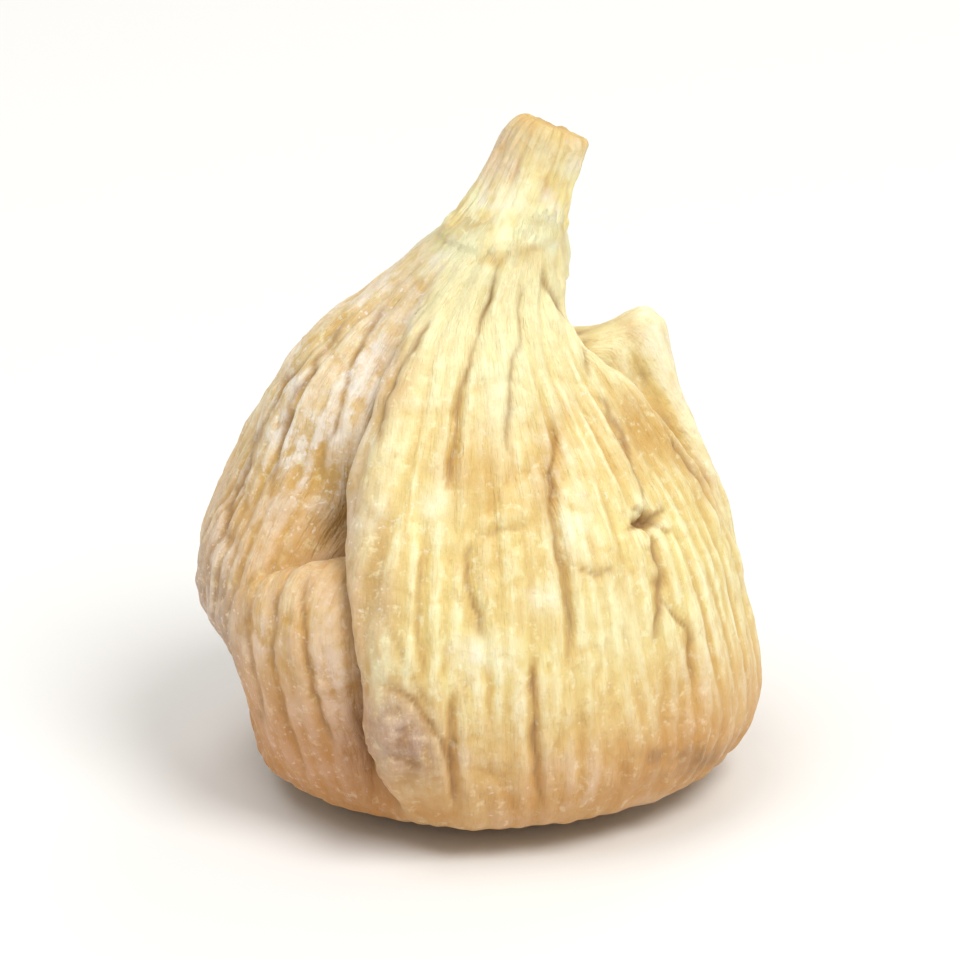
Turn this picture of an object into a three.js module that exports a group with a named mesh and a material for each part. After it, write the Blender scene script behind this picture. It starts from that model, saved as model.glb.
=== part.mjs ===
// A whole dried fig with its stem: a squat, leaning, wrinkled sack of a fruit
// that stands on its flattened eye end, and the short cut stem on its neck.
// Millimetres, +Z up. The origin is the middle of the foot, on the surface
// that the fig stands on. The side with the deep fold faces -Y, +X is the
// right-hand side seen from there.
import * as THREE from "three";

// ---- driving dimensions (mm) ----
const NECK_Z = 38.2; // height of the ring where the fruit's neck ends
const STEM_GAP = 0.3; // hairline between the neck's face and the stem's foot
const TIP_Z = 45.1; // height of the middle of the stem's cut end
const EYE_R = 3.2; // radius of the sunken eye under the fruit
const EYE_DEPTH = 1.0; // depth of the eye
const AROUND = 60; // facets round the fruit
const ROWS = 26; // rows of facets from the foot to the neck
const STEM_AROUND = 24; // facets round the stem

// The fruit's outline: height, then how far the skin reaches to the left (-X),
// right (+X), front (-Y) and back (+Y) of the origin.
const OUTLINE = [
  [0.0, 11.2, 12.4, 11.0, 11.0],
  [0.7, 13.6, 15.0, 13.4, 13.0],
  [2.4, 15.7, 17.4, 15.4, 15.0],
  [5.0, 17.0, 18.9, 16.8, 16.4],
  [8.0, 18.0, 19.3, 17.4, 17.1],
  [11.5, 18.9, 18.9, 17.5, 17.5],
  [15.0, 19.3, 18.1, 17.0, 17.4],
  [18.5, 18.7, 17.0, 15.8, 17.0],
  [22.0, 17.3, 15.2, 14.0, 16.2],
  [25.5, 15.2, 12.6, 11.8, 14.9],
  [29.0, 12.7, 9.8, 9.2, 13.1],
  [32.0, 9.9, 7.5, 6.9, 11.1],
  [34.5, 7.0, 6.3, 5.0, 9.2],
  [36.6, 4.4, 5.9, 3.5, 7.6],
  [NECK_Z, 2.5, 5.7, 2.2, 6.2],
];

// The deep fold that parts the left-hand lobe from the main one.
const FOLD = { at: 241, halfWidth: 13, depth: 3.1, low: 1.5, high: 34 };
// The crease across the left-hand lobe.
const CROSS = { from: 178, to: 240, z: 19.0, rise: 0.055, half: 2.2, depth: 1.3 };
// The pleat that stands out of the right-hand shoulder, towards the back.
const PLEAT = { at: 16, halfWidth: 17, height: 3.9, low: 15, peak: 28, high: 35 };
// The hollow between the pleat and the front of the shoulder.
const HOLLOW = { at: 342, halfWidth: 15, depth: 1.5, low: 15, peak: 27, high: 35 };

// The stem's centre line and radius, foot to tip: x, y, z, radius.
const STEM = [
  [1.6, 2.0, NECK_Z + STEM_GAP, 4.0],
  [2.1, 2.2, 39.4, 3.62],
  [2.8, 2.5, 40.8, 3.22],
  [3.5, 2.8, 42.3, 2.92],
  [4.2, 3.1, 43.8, 2.66],
  [4.8, 3.3, TIP_Z, 2.42],
];
const CUT_SLOPE = -0.34; // the cut end falls towards +X

// ---- small helpers ----
const smooth = (t) => {
  const c = Math.min(1, Math.max(0, t));
  return c * c * (3 - 2 * c);
};
const turn = (deg, about) => ((((deg - about) % 360) + 540) % 360) - 180;
const hump = (d, half) =>
  Math.abs(d) < half ? 0.5 + 0.5 * Math.cos((Math.PI * d) / half) : 0;
const window3 = (z, low, peak, high) =>
  z <= peak ? smooth((z - low) / (peak - low)) : smooth((high - z) / (high - peak));

// How far the skin stands out of (or sinks into) the plain outline.
function relief(deg, z) {
  let out = 0;
  const foldZ =
    smooth((z - FOLD.low) / 7) * smooth((FOLD.high - z) / 12);
  const d = turn(deg, FOLD.at);
  out -= FOLD.depth * foldZ * Math.pow(hump(d, FOLD.halfWidth), 1.4);
  if (deg > CROSS.from && deg < CROSS.to) {
    const middle = CROSS.z + CROSS.rise * (deg - 209);
    const across =
      smooth((deg - CROSS.from) / 15) * smooth((CROSS.to - deg) / 10);
    out -= CROSS.depth * across * hump(z - middle, CROSS.half);
  }
  out +=
    PLEAT.height *
    window3(z, PLEAT.low, PLEAT.peak, PLEAT.high) *
    hump(turn(deg, PLEAT.at), PLEAT.halfWidth);
  out -=
    HOLLOW.depth *
    window3(z, HOLLOW.low, HOLLOW.peak, HOLLOW.high) *
    hump(turn(deg, HOLLOW.at), HOLLOW.halfWidth);
  return out;
}

// The outline as smooth curves through its rows, all four with the same knots.
const curves = [1, 2, 3, 4].map(
  (k) => new THREE.SplineCurve(OUTLINE.map((row) => new THREE.Vector2(row[0], row[k]))),
);
const outlineRow = (t) => {
  const p = curves.map((c) => c.getPoint(t));
  return [p[0].x, ...p.map((q) => q.y)];
};
const outlineRows = Array.from({ length: ROWS + 1 }, (_, i) => outlineRow(i / ROWS));

// The point of the skin at one angle on one outline row.
function skin(deg, [z, left, right, front, back]) {
  const a = THREE.MathUtils.degToRad(deg);
  const c = Math.cos(a), s = Math.sin(a);
  const x = c * (c < 0 ? left : right);
  const y = s * (s < 0 ? front : back);
  const r = Math.hypot(x, y);
  const k = 1 + (z > 0 && z < NECK_Z ? relief(deg, z) : 0) / r;
  return new THREE.Vector3(x * k, y * k, z);
}

// ---- fruit ----
// A turned blank with the right rows and facets, whose points are then moved
// on to the skin: the eye, the foot, the outline rows and the neck's face.
function fruitGeometry() {
  const foot = outlineRows[0], neck = outlineRows[ROWS];
  const rows = [
    { on: "axis", z: EYE_DEPTH, at: [0, 0] },
    { on: "eye", r: EYE_R * 0.62, z: EYE_DEPTH * 0.9 },
    { on: "eye", r: EYE_R, z: 0 },
    { on: "foot", k: 0.62 },
    ...outlineRows.map((row) => ({ on: "skin", row })),
    { on: "axis", z: NECK_Z, at: [(neck[2] - neck[1]) / 2, (neck[4] - neck[3]) / 2] },
  ];
  const blank = rows.map((r, i) =>
    new THREE.Vector2(r.on === "axis" ? 0 : 10, i),
  );
  const geometry = new THREE.LatheGeometry(blank, AROUND);
  const position = geometry.getAttribute("position");
  for (let i = 0; i <= AROUND; i++) {
    const deg = (360 * (i % AROUND)) / AROUND;
    const a = THREE.MathUtils.degToRad(deg);
    rows.forEach((r, j) => {
      let p;
      if (r.on === "axis") p = new THREE.Vector3(r.at[0], r.at[1], r.z);
      else if (r.on === "eye")
        p = new THREE.Vector3(r.r * Math.cos(a), r.r * Math.sin(a), r.z);
      else if (r.on === "foot") p = skin(deg, foot).multiplyScalar(r.k);
      else p = skin(deg, r.row);
      position.setXYZ(i * rows.length + j, p.x, p.y, p.z);
    });
  }
  geometry.computeVertexNormals();
  return geometry;
}

// ---- stem ----
function stemGeometry() {
  const last = STEM.length - 1;
  const rows = [
    { s: STEM[0], k: 0 },
    ...STEM.map((s) => ({ s, k: 1 })),
    { s: STEM[last], k: 0, cut: true },
  ];
  rows[rows.length - 2].cut = true;
  const blank = rows.map((r, i) => new THREE.Vector2(r.k ? 3 : 0, i));
  const geometry = new THREE.LatheGeometry(blank, STEM_AROUND);
  const position = geometry.getAttribute("position");
  for (let i = 0; i <= STEM_AROUND; i++) {
    const a = (2 * Math.PI * (i % STEM_AROUND)) / STEM_AROUND;
    rows.forEach(({ s: [x, y, z, radius], k, cut }, j) => {
      // a slightly squared, ribbed section
      const r = k * radius * (1 + 0.035 * Math.cos(4 * a + 0.6));
      const dx = r * Math.cos(a), dy = r * Math.sin(a);
      position.setXYZ(i * rows.length + j, x + dx, y + dy, z + (cut ? CUT_SLOPE * dx : 0));
    });
  }
  geometry.computeVertexNormals();
  return geometry;
}

const skinMaterial = new THREE.MeshStandardMaterial({
  color: new THREE.Color(0.86, 0.7, 0.43),
  roughness: 0.62,
  metalness: 0,
});
const stemMaterial = new THREE.MeshStandardMaterial({
  color: new THREE.Color(0.82, 0.71, 0.45),
  roughness: 0.7,
  metalness: 0,
});

const fruit = new THREE.Mesh(fruitGeometry(), skinMaterial);
fruit.name = "fruit";
const stem = new THREE.Mesh(stemGeometry(), stemMaterial);
stem.name = "stem";

const fig = new THREE.Group();
fig.name = "dried_fig";
fig.add(fruit, stem);

export default fig;
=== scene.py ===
"""A whole dried fig: a wrinkled, folded fruit standing on its eye end, and its short cut stem.

The fruit's skin is modelled as a fine grid of points. It starts from the plain outline of the
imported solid, gets its folds, pleats and creases one by one, and then its ribs, which are grown as
a buckling pattern on the skin (stripes of a set wavelength that merge where the fruit narrows).
Lengths in this script are millimetres until a mesh is made.
"""
import math

import bpy
import numpy as np
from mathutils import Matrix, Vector


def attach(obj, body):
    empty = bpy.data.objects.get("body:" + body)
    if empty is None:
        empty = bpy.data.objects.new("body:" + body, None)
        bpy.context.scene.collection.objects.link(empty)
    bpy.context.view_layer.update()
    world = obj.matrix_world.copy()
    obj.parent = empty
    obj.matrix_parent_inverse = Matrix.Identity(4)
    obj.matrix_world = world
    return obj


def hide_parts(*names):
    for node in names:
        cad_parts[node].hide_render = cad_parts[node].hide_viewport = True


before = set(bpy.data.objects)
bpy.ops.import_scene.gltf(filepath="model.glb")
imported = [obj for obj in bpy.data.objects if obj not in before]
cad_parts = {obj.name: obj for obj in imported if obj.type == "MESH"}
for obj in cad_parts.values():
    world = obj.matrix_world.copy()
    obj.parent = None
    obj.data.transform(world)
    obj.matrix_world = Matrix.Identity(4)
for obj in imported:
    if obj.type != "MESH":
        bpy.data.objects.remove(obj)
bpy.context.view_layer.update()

# ------------------------------------------------------------------ the view
PX_MM = 0.1486            # millimetres per pixel of the 960 x 960 photograph, at the fig
ELEVATION = math.radians(22.0)
DISTANCE = 400.0          # camera to fig
TARGET = np.array([0.0, 0.0, 21.0])
TARGET_PX = np.array([444.0, 250.0])   # where the target lies in the photograph
ZOOM = 2.2                # the picture is closer than the photograph by this much
TO_CAMERA = np.array([0.0, -math.cos(ELEVATION), math.sin(ELEVATION)])
RIGHT = np.array([1.0, 0.0, 0.0])
UP = np.array([0.0, math.sin(ELEVATION), math.cos(ELEVATION)])


def to_px(points):
    """Where points (mm) lie in the photograph, in its pixels."""
    d = points - TARGET
    depth = DISTANCE - d @ TO_CAMERA
    k = DISTANCE / PX_MM / depth
    return np.stack([TARGET_PX[0] + (d @ RIGHT) * k, TARGET_PX[1] - (d @ UP) * k], -1)


# ------------------------------------------------------------------ helpers
def smooth(t):
    t = np.clip(t, 0.0, 1.0)
    return t * t * (3 - 2 * t)


def hump(d, half):
    return np.where(np.abs(d) < half, 0.5 + 0.5 * np.cos(np.pi * d / half), 0.0)


def turn(deg, about):
    return (deg - about + 540.0) % 360.0 - 180.0


def window3(z, low, peak, high):
    return np.where(z <= peak, smooth((z - low) / (peak - low)), smooth((high - z) / (high - peak)))


def _hash(ix, iy, iz, seed):
    h = (ix * 374761393 + iy * 668265263 + iz * 1442695041 + seed * 974634777) & 0xFFFFFFFF
    h = ((h ^ (h >> 13)) * 1274126177) & 0xFFFFFFFF
    return h ^ (h >> 16)


def noise3(p, seed=0):
    """Gradient noise, about -1 to 1, at points of an (..., 3) array."""
    i = np.floor(p).astype(np.int64)
    f = p - i
    u = f * f * f * (f * (f * 6 - 15) + 10)
    total = np.zeros(p.shape[:-1])
    for dx in (0, 1):
        wx = u[..., 0] if dx else 1 - u[..., 0]
        for dy in (0, 1):
            wy = u[..., 1] if dy else 1 - u[..., 1]
            for dz in (0, 1):
                wz = u[..., 2] if dz else 1 - u[..., 2]
                h = _hash(i[..., 0] + dx, i[..., 1] + dy, i[..., 2] + dz, seed)
                gx = (h & 1023) / 511.5 - 1
                gy = ((h >> 10) & 1023) / 511.5 - 1
                gz = ((h >> 20) & 1023) / 511.5 - 1
                total += wx * wy * wz * (gx * (f[..., 0] - dx) + gy * (f[..., 1] - dy) + gz * (f[..., 2] - dz))
    return total * 1.35


def fbm(p, octaves=3, seed=0):
    out, amp, norm = 0.0, 1.0, 0.0
    for k in range(octaves):
        out = out + amp * noise3(p * 2.0**k, seed + 17 * k)
        norm += amp
        amp *= 0.5
    return out / norm


def normals_of(p):
    """Unit normals of a grid of points: rows from the eye to the neck, columns round the fruit."""
    du = np.roll(p, -1, 1) - np.roll(p, 1, 1)
    dv = np.empty_like(p)
    dv[1:-1] = p[2:] - p[:-2]
    dv[0], dv[-1] = p[1] - p[0], p[-1] - p[-2]
    n = np.cross(du, dv)
    length = np.linalg.norm(n, axis=-1, keepdims=True)
    n = n / np.maximum(length, 1e-12)
    n[0] = np.array([0, 0, -1.0])
    n[-1] = np.array([0, 0, 1.0])
    return n


def blur(f, n=1, rows=True, cols=True):
    """n rounds of a small binomial blur of a field on the grid."""
    for _ in range(n):
        if cols:
            f = 0.25 * np.roll(f, 1, 1) + 0.5 * f + 0.25 * np.roll(f, -1, 1)
        if rows:
            g = np.concatenate([f[:1], f, f[-1:]], 0)
            f = 0.25 * g[:-2] + 0.5 * g[1:-1] + 0.25 * g[2:]
    return f


def curve_through(points, per=8):
    """A smooth line through 2-D points."""
    p = np.array(points, float)
    if len(p) < 3:
        return np.stack([np.linspace(p[0], p[-1], per + 1)])[0]
    q = np.concatenate([[2 * p[0] - p[1]], p, [2 * p[-1] - p[-2]]])
    out = []
    for i in range(1, len(q) - 2):
        for f in np.arange(per) / per:
            a, b, c, d = q[i - 1 : i + 3]
            out.append(0.5 * (2 * b + (c - a) * f + (2 * a - 5 * b + 4 * c - d) * f**2 + (3 * b - a - 3 * c + d) * f**3))
    out.append(p[-1])
    return np.array(out)


def along(px, points, reach):
    """For pixels px (n, 2) and a line: signed distance in mm (positive on its right-hand side, going down the
    picture it is the viewer's right), the share of the line's length at the nearest point, and which are in reach."""
    line = curve_through(points)
    a, b = line[:-1], line[1:]
    lengths = np.linalg.norm(b - a, axis=1)
    start = np.concatenate([[0], np.cumsum(lengths)[:-1]])
    total = lengths.sum()
    lo, hi = line.min(0) - reach / PX_MM, line.max(0) + reach / PX_MM
    near = np.nonzero(((px >= lo) & (px <= hi)).all(1))[0]
    best = np.full(len(near), 1e9)
    side = np.zeros(len(near))
    share = np.zeros(len(near))
    q = px[near]
    for k in range(len(a)):
        d = b[k] - a[k]
        f = np.clip(((q - a[k]) @ d) / (d @ d), 0, 1)
        off = q - a[k] - f[:, None] * d
        dist = np.linalg.norm(off, axis=1)
        closer = dist < best
        best = np.where(closer, dist, best)
        cross = d[0] * off[:, 1] - d[1] * off[:, 0]
        side = np.where(closer, np.where(cross < 0, 1.0, -1.0), side)
        share = np.where(closer, (start[k] + f * lengths[k]) / total, share)
    keep = best * PX_MM < reach
    return near[keep], (best * side * PX_MM)[keep], share[keep]


# ------------------------------------------------------------------ the fruit's outline
NECK_Z = 38.2
EYE_R, EYE_DEPTH = 3.2, 1.0
OUTLINE = np.array([   # height, then reach to the left, right, front and back
    [0.0, 11.2, 12.4, 11.0, 11.0],
    [0.7, 13.6, 15.0, 13.4, 13.0],
    [2.4, 15.7, 17.4, 15.4, 15.0],
    [5.0, 17.0, 18.9, 16.8, 16.4],
    [8.0, 18.0, 19.3, 17.4, 17.1],
    [11.5, 18.9, 18.9, 17.5, 17.5],
    [15.0, 19.3, 18.1, 17.0, 17.4],
    [18.5, 18.7, 17.0, 15.8, 17.0],
    [22.0, 17.3, 15.2, 14.0, 16.2],
    [25.5, 15.2, 12.6, 11.8, 14.9],
    [29.0, 12.7, 9.8, 9.2, 13.1],
    [32.0, 9.9, 7.5, 6.9, 11.1],
    [34.5, 7.0, 6.3, 5.0, 9.2],
    [36.6, 4.4, 5.9, 3.5, 7.6],
    [NECK_Z, 2.5, 5.7, 2.2, 6.2],
])
NECK_AT = np.array([1.6, 2.0])
COLS, ROWS = 420, 232


def outline(t):
    n = len(OUTLINE)
    p = np.clip(t, 0, 1) * (n - 1)
    i = np.minimum(np.floor(p).astype(int), n - 2)
    f = (p - i)[:, None]
    p0, p1, p2, p3 = OUTLINE[np.maximum(i - 1, 0)], OUTLINE[i], OUTLINE[i + 1], OUTLINE[np.minimum(i + 2, n - 1)]
    v0, v1 = (p2 - p0) * 0.5, (p3 - p1) * 0.5
    return (2 * p1 - 2 * p2 + v0 + v1) * f**3 + (-3 * p1 + 3 * p2 - 2 * v0 - v1) * f**2 + v0 * f + p1


STEM = np.array([   # centre line and radius, from inside the neck up to the cut
    [0.6, 1.5, 34.6, 3.1],
    [1.0, 1.7, 36.6, 3.9],
    [1.6, 2.0, 38.5, 4.0],
    [2.1, 2.2, 39.4, 3.62],
    [2.8, 2.5, 40.8, 3.22],
    [3.5, 2.8, 42.3, 2.92],
    [4.2, 3.1, 43.8, 2.66],
    [4.8, 3.3, 45.1, 2.42],
])
even = 2 * math.pi * np.arange(COLS) / COLS
theta = even + 0.33 * np.sin(even - math.pi / 2)      # the columns lie closer together at the front
cos_t, sin_t = np.cos(theta)[None, :], np.sin(theta)[None, :]


def ring(left, right, front, back, z):
    """Closed rings, one per row, from their reach in four directions."""
    x = cos_t * np.where(cos_t < 0, left[:, None], right[:, None])
    y = sin_t * np.where(sin_t < 0, front[:, None], back[:, None])
    return np.stack([x, y, np.broadcast_to(z[:, None], x.shape)], -1)


def circles(x, y, r, z):
    x, y, r, z = (np.asarray(v, float)[:, None] for v in (x, y, r, z))
    return np.stack([x + r * cos_t, y + r * sin_t, np.broadcast_to(z, (len(z), COLS))], -1)


def fruit_rows():
    """The plain skin: rings from the eye's middle, over the foot, up the sides and a little way up the stem, evenly spaced along the skin."""
    k = np.linspace(0, 1, 60)
    eye = circles(0 * k, 0 * k, EYE_R * k, EYE_DEPTH * (1 - k**2.2))
    f = np.linspace(0, 1, 120)[1:]
    foot = OUTLINE[0]
    flat = ring(*[EYE_R * (1 - f) + foot[i] * f for i in (1, 2, 3, 4)], 0 * f)
    rows = outline(np.linspace(0, 1, 900)[1:])
    sides = ring(rows[:, 1], rows[:, 2], rows[:, 3], rows[:, 4], rows[:, 0])
    # towards the neck the rings turn into circles about the stem
    n = len(rows)
    toward = smooth((rows[:, 0] - 30.5) / 7.7)
    neck = circles((rows[:, 2] - rows[:, 1]) / 2, (rows[:, 4] - rows[:, 3]) / 2, rows[:, 1:5].mean(1), rows[:, 0])
    sides = sides + toward[:, None, None] * (neck - sides)
    e = np.linspace(0, 1, 80)[1:]
    z = NECK_Z + 3.4 * e
    x, y = np.interp(z, STEM[:, 2], STEM[:, 0]), np.interp(z, STEM[:, 2], STEM[:, 1])
    r = np.interp(z, STEM[:, 2], STEM[:, 3]) + 0.24 - 0.5 * e
    sleeve = circles(x, y, r, z)
    c = np.linspace(0, 1, 40)[1:, None, None]
    mid = sleeve[-1].mean(0)
    cap = mid + (1 - c) * (sleeve[-1] - mid)
    dense = np.concatenate([eye, flat, sides, sleeve, cap])
    step = np.linalg.norm(np.diff(dense, axis=0), axis=-1).mean(1)
    step[-39:] *= 0.2      # hidden in the stem, so few rows
    s = np.concatenate([[0], np.cumsum(step)])
    at = np.linspace(0, s[-1], ROWS)
    i = np.clip(np.searchsorted(s, at) - 1, 0, len(s) - 2)
    f = ((at - s[i]) / (s[i + 1] - s[i]))[:, None, None]
    part = np.concatenate([[0] * 60, [1] * 119, [2] * n, [3] * 79, [4] * 39])[i]
    return dense[i] * (1 - f) + dense[i + 1] * f, at, part


base, arc, part = fruit_rows()
DEG = np.degrees(theta)[None, :]
Z = base[:, :1, 2].copy()
on_sides = (part == 2)[:, None]
shape = base.shape[:2]
zz = np.broadcast_to(Z, shape)
eye_r = np.hypot(base[..., 0], base[..., 1])
# the foot is flattened only in the middle and turns up towards its edge
base[..., 2] = np.where(
    (part < 2)[:, None] & (eye_r > EYE_R), 0.95 * smooth((eye_r - 4.5) / 7.2), zz + np.where((part >= 2)[:, None], 0.95 * (1 - smooth(zz / 3.2)), 0)
)

# a low, lumpy unevenness over the whole fruit
body = smooth((Z - 0.5) / 4) * smooth((NECK_Z - Z) / 5)
lump = fbm(base / 11.0, 2, seed=3)
base = base + normals_of(base) * ((0.7 * lump - 0.15) * body)[..., None]

# wide folds round the back, and the step where the left-hand lobe hangs over its lower part
reach = np.hypot(base[..., 0], base[..., 1])
out = -1.3 * hump(turn(DEG, 186), 36) * smooth((14.2 - Z) / 5.0) * smooth((Z - 1.0) / 5)
out = out + 0.9 * hump(turn(DEG, 186), 50) * window3(Z, 24, 30.5, 37) - 0.7 * hump(turn(DEG, 186), 45) * window3(Z, 14, 21, 27)
out = out - 0.5 * hump(turn(DEG, 355), 40) * window3(Z, 4, 13, 24)
for at, half, depth, low, peak, high, lean in (
    (78, 9, 1.5, 3, 20, 35, 0.25),
    (112, 12, 2.1, 2, 15, 33, -0.3),
    (150, 9, 1.6, 5, 22, 35, 0.35),
    (40, 9, 1.3, 12, 24, 35, 0.3),
    (20, 9, 0.8, 0.5, 6, 15, -0.2),
    (58, 8, 1.2, 1, 9, 20, 0.2),
):
    out = out - depth * window3(Z, low, peak, high) * hump(turn(DEG, at + lean * (Z - peak)), half) ** 1.3
scale = 1 + np.where(on_sides, out / np.maximum(reach, 1e-6), 0)
base[..., 0] *= scale
base[..., 1] *= scale

# the pleat: skin pinched into a thin fin on the right-hand shoulder, with a valley in front of it
fin_at = 5 + 0.45 * (Z - 25)
fin_s = np.radians(turn(DEG, fin_at)) * np.hypot(base[..., 0], base[..., 1])       # mm to the left of the fin's crest
fin_h = np.interp(Z, [17, 20, 23, 25.5, 28, 29.4, 30.4, 31.4, 32.4], [0, 0.3, 1.0, 2.1, 3.5, 4.3, 4.1, 2.3, 0])
fin = fin_h * (0.85 * np.exp(-(np.abs(fin_s) / 0.95) ** 2.6) + 0.15 * np.exp(-((fin_s / 3.0) ** 2)))
gully = np.interp(Z, [14, 19, 25, 28, 32, 34, 35.5], [0, 0.6, 1.8, 2.4, 2.2, 1.2, 0])
saddle = np.interp(Z, [22, 26, 29, 32, 34.5, 36.8], [0, 1.4, 2.7, 3.0, 2.0, 0])
fin -= gully * np.exp(-(((fin_s + 2.3) / 1.1) ** 2)) + saddle * np.exp(-(((fin_s - 5.2) / 3.2) ** 2))
fin += 0.32 * gully * np.exp(-(((fin_s + 4.9) / 1.5) ** 2))
fin -= np.interp(Z, [30.4, 31.8, 33.5, 35.5], [0, 2.0, 1.6, 0]) * np.exp(-((fin_s / 3.2) ** 2))
soft = blur(normals_of(base), 8)
base = base + soft * (np.where(on_sides, fin, 0))[..., None]

# ------------------------------------------------------------------ folds and creases seen from the front
skin = base.copy()
normal = normals_of(skin)
right_way = np.stack([-np.sin(theta), np.cos(theta), 0 * theta], 1)[None]  # counter-clockwise, which is to the right at the front


def front(points, n):
    """How much a point faces the camera, 0 to 1."""
    view = TARGET + TO_CAMERA * DISTANCE - points
    view /= np.linalg.norm(view, axis=-1, keepdims=True)
    return smooth(((n * view).sum(-1) + 0.05) / 0.25)


# fold_depth also flattens the ribs in the folds, and gives the painted shade in the folds, the pocket and the gap
fold_depth = np.zeros(skin.shape[:2])      # how deep in a fold a point is, for the colours
crease_guide = np.zeros(skin.shape[:2])    # where the ribs' valleys should run

# the deep fold between the left-hand lobe and the main one
FOLD = [(421, 156), (412, 170), (405.6, 183), (402, 197), (397.2, 211.6), (392.4, 226), (386.4, 242.8), (382.3, 259.6), (381.6, 276.4), (382.1, 290.8),
        (383.5, 305.2), (384.6, 319.6), (386.2, 334), (388, 346), (388, 358), (388, 370), (391, 382), (398, 393), (404, 408)]
FOLD = [(x + 5.5, y) for x, y in FOLD]
flat_px = to_px(skin.reshape(-1, 3))
facing = front(skin, normal).reshape(-1)
ids, d, t = along(flat_px, FOLD, 12.0)
beyond = np.full(flat_px.shape[0], 9.0)      # mm to the right of the fold
beyond[ids] = d
w = facing[ids]
push = np.zeros(flat_px.shape[0])
slide = np.zeros(flat_px.shape[0])
strength = smooth(t / 0.25) * smooth((1.0 - t) / 0.10)
pocket = np.exp(-(((t - 0.44) / 0.12) ** 2))
left = d < 0
depth = (2.5 + 1.7 * pocket) * strength
wide = 1.7 + 2.0 * pocket
dl = np.abs(d)
edge = np.sqrt(np.clip(1 - (1 - np.clip(dl / 2.4, 0, 1)) ** 2, 0, 1))       # a quarter round: the main lobe's edge
swell = 1.1 * strength
push[ids] += w * np.where(left, -depth * np.exp(-((dl / wide) ** 1.25)), -depth + (depth + swell * np.exp(-((np.clip(dl - 2.4, 0, None) / 5.0) ** 2))) * edge)
slide[ids] += w * np.where(left, 0, -1.3 * strength * np.exp(-(((dl - 1.0) / 1.4) ** 2)))
# painted shade along the fold, reaching further on its left-hand side
fold_depth.reshape(-1)[ids] += w * strength * np.where(left, np.exp(-dl / (0.9 + 1.6 * pocket + 0.9 * smooth((t - 0.4) / 0.15))), np.exp(-dl / 0.4))

# the crease across the left-hand lobe: its lower part swells over it
CROSS = [(312, 309), (322, 305.5), (332, 300.5), (341, 295), (350, 290.5), (361, 286.3), (372, 283.6), (383, 281.5)]
lift = np.zeros(flat_px.shape[0])
ids, d, t = along(flat_px, CROSS, 9.0)
w = facing[ids] * smooth((0.2 - beyond[ids]) / 0.5)
above = d > 0    # the line runs to the right, so d is positive above it
dl = np.abs(d)
grow = 0.12 + 0.88 * smooth((t - 0.25) / 0.6)      # sharp beside the deep fold, soft towards the left
edge = np.sqrt(np.clip(1 - (1 - np.clip(dl / 2.6, 0, 1)) ** 2, 0, 1))
push[ids] += w * grow * np.where(above, -1.5 * np.exp(-((dl / 2.0) ** 1.3)), -1.5 + (1.5 + 0.9 * np.exp(-((np.clip(dl - 2.6, 0, None) / 5.0) ** 2))) * edge)
lift[ids] += w * np.where(above, 0, grow * 0.7 * np.exp(-(((dl - 1.0) / 1.4) ** 2)))
# painted shade along the crease across the left-hand lobe
fold_depth.reshape(-1)[ids] = np.maximum(fold_depth.reshape(-1)[ids], w * grow**1.5 * np.where(above, np.exp(-dl / 1.5), np.exp(-dl / 0.5)))


def blob(centre, radii, angle=0.0, power=2.0):
    """A soft spot, 1 in the middle, at a place in the photograph; radii in mm."""
    a = math.radians(angle)
    d = (flat_px - np.array(centre)) * PX_MM
    x, y = d[:, 0] * math.cos(a) + d[:, 1] * math.sin(a), -d[:, 0] * math.sin(a) + d[:, 1] * math.cos(a)
    return np.exp(-(np.hypot(x / radii[0], y / radii[1]) ** power)) * facing


push -= 1.9 * blob((372, 263), (2.0, 3.0), 10)             # the pocket above the crease
# painted shade in the pocket
fold_depth = np.maximum(fold_depth, 0.72 * blob((372, 268), (2.2, 2.6), 20).reshape(shape))
push += 0.9 * blob((362, 330), (3.2, 5.2), 0)              # the pillow below it
nodule = blob((409, 369), (2.3, 3.5), -38, 2.4)
push += (0.75 + 1.1 * fbm(skin.reshape(-1, 3) / 1.2, 4, seed=55)) * nodule      # a rough nodule at the foot of the fold
gap = blob((395, 377), (1.7, 1.2), 55)
push -= 2.0 * gap                                          # and the gap beside it
# painted shade in the gap beside the nodule
fold_depth = np.maximum(fold_depth, 0.9 * gap.reshape(shape))
push += 0.5 * blob((452, 300), (8.0, 9.0))                 # the main lobe is full in the middle

normal_soft = blur(normal, 6)
normal_soft /= np.maximum(np.linalg.norm(normal_soft, axis=-1, keepdims=True), 1e-9)
up_way = np.cross(normal_soft, np.broadcast_to(right_way, normal_soft.shape))
up_way /= np.maximum(np.linalg.norm(up_way, axis=-1, keepdims=True), 1e-9)
skin = (
    skin
    + normal_soft * push.reshape(shape)[..., None]
    + right_way * slide.reshape(shape)[..., None]
    + up_way * lift.reshape(shape)[..., None]
)
skin[1:-1] = 0.5 * skin[1:-1] + 0.5 * blur(skin, 1)[1:-1]

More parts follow.
